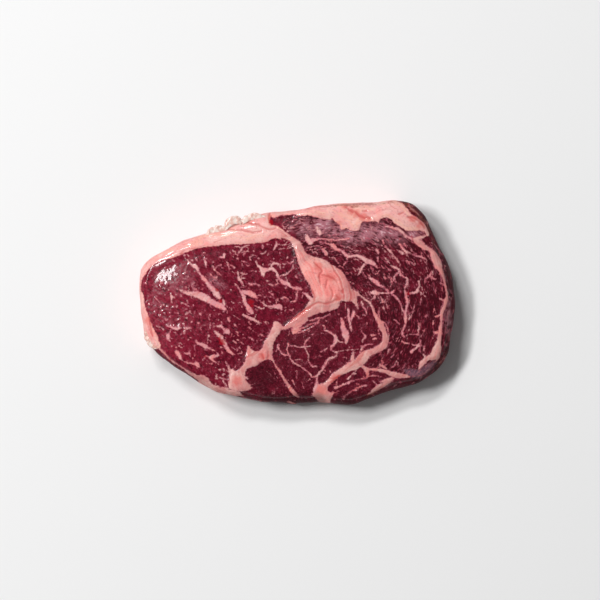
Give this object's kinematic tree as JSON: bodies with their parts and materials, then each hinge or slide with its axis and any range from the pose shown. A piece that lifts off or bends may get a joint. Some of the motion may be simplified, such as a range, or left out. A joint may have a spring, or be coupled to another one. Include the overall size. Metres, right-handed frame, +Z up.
{
  "type": "raw beef steak",
  "caption": "Raw rib-eye steak lying on a cut face: marbled loin eye, curved cap muscle, a kernel of fat between them and a rind of fat along the edge.",
  "frame": {"origin": "on the surface that the steak lies on, under the middle of its outline's box", "axes": "+Z up out of the cut face that shows, +X along the steak's length towards the cap muscle, +Y towards the edge with the thick fat"},
  "size_m": [0.1586, 0.103, 0.0255],
  "materials": {
    "raw_beef": "wet raw meat with white and pink fat"
  },
  "bodies": {
    "root": {"steak": "raw_beef"}
  },
  "joints": []
}
